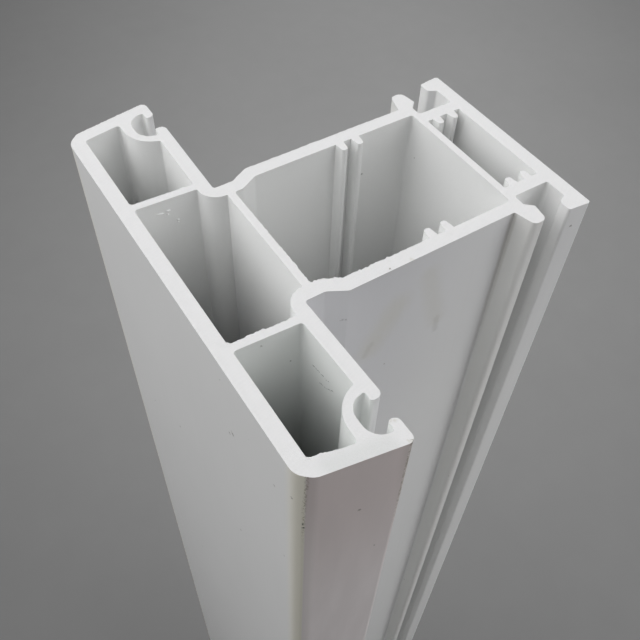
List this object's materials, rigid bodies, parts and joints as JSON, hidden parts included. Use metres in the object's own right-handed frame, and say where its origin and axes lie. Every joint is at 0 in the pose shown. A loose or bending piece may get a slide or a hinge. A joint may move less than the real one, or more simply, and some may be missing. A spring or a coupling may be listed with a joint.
{
  "type": "window frame profile section",
  "caption": "Sawn length of white rigid-plastic T-shaped window mullion: hollow chambers, gasket grooves in the flange ends, glazing bead grooves beside the stem's end and screw ribs inside.",
  "frame": {"origin": "middle of the lower sawn end, on the plane it stands on", "axes": "+Z along the bar, +X through the depth of the section from the flange face to the bead face, +Y across its width"},
  "size_m": [0.06, 0.073, 0.3],
  "materials": {
    "white_upvc": "smooth satin white rigid PVC, with matt sawn ends"
  },
  "bodies": {
    "root": {"frame_profile": "white_upvc"}
  },
  "joints": []
}
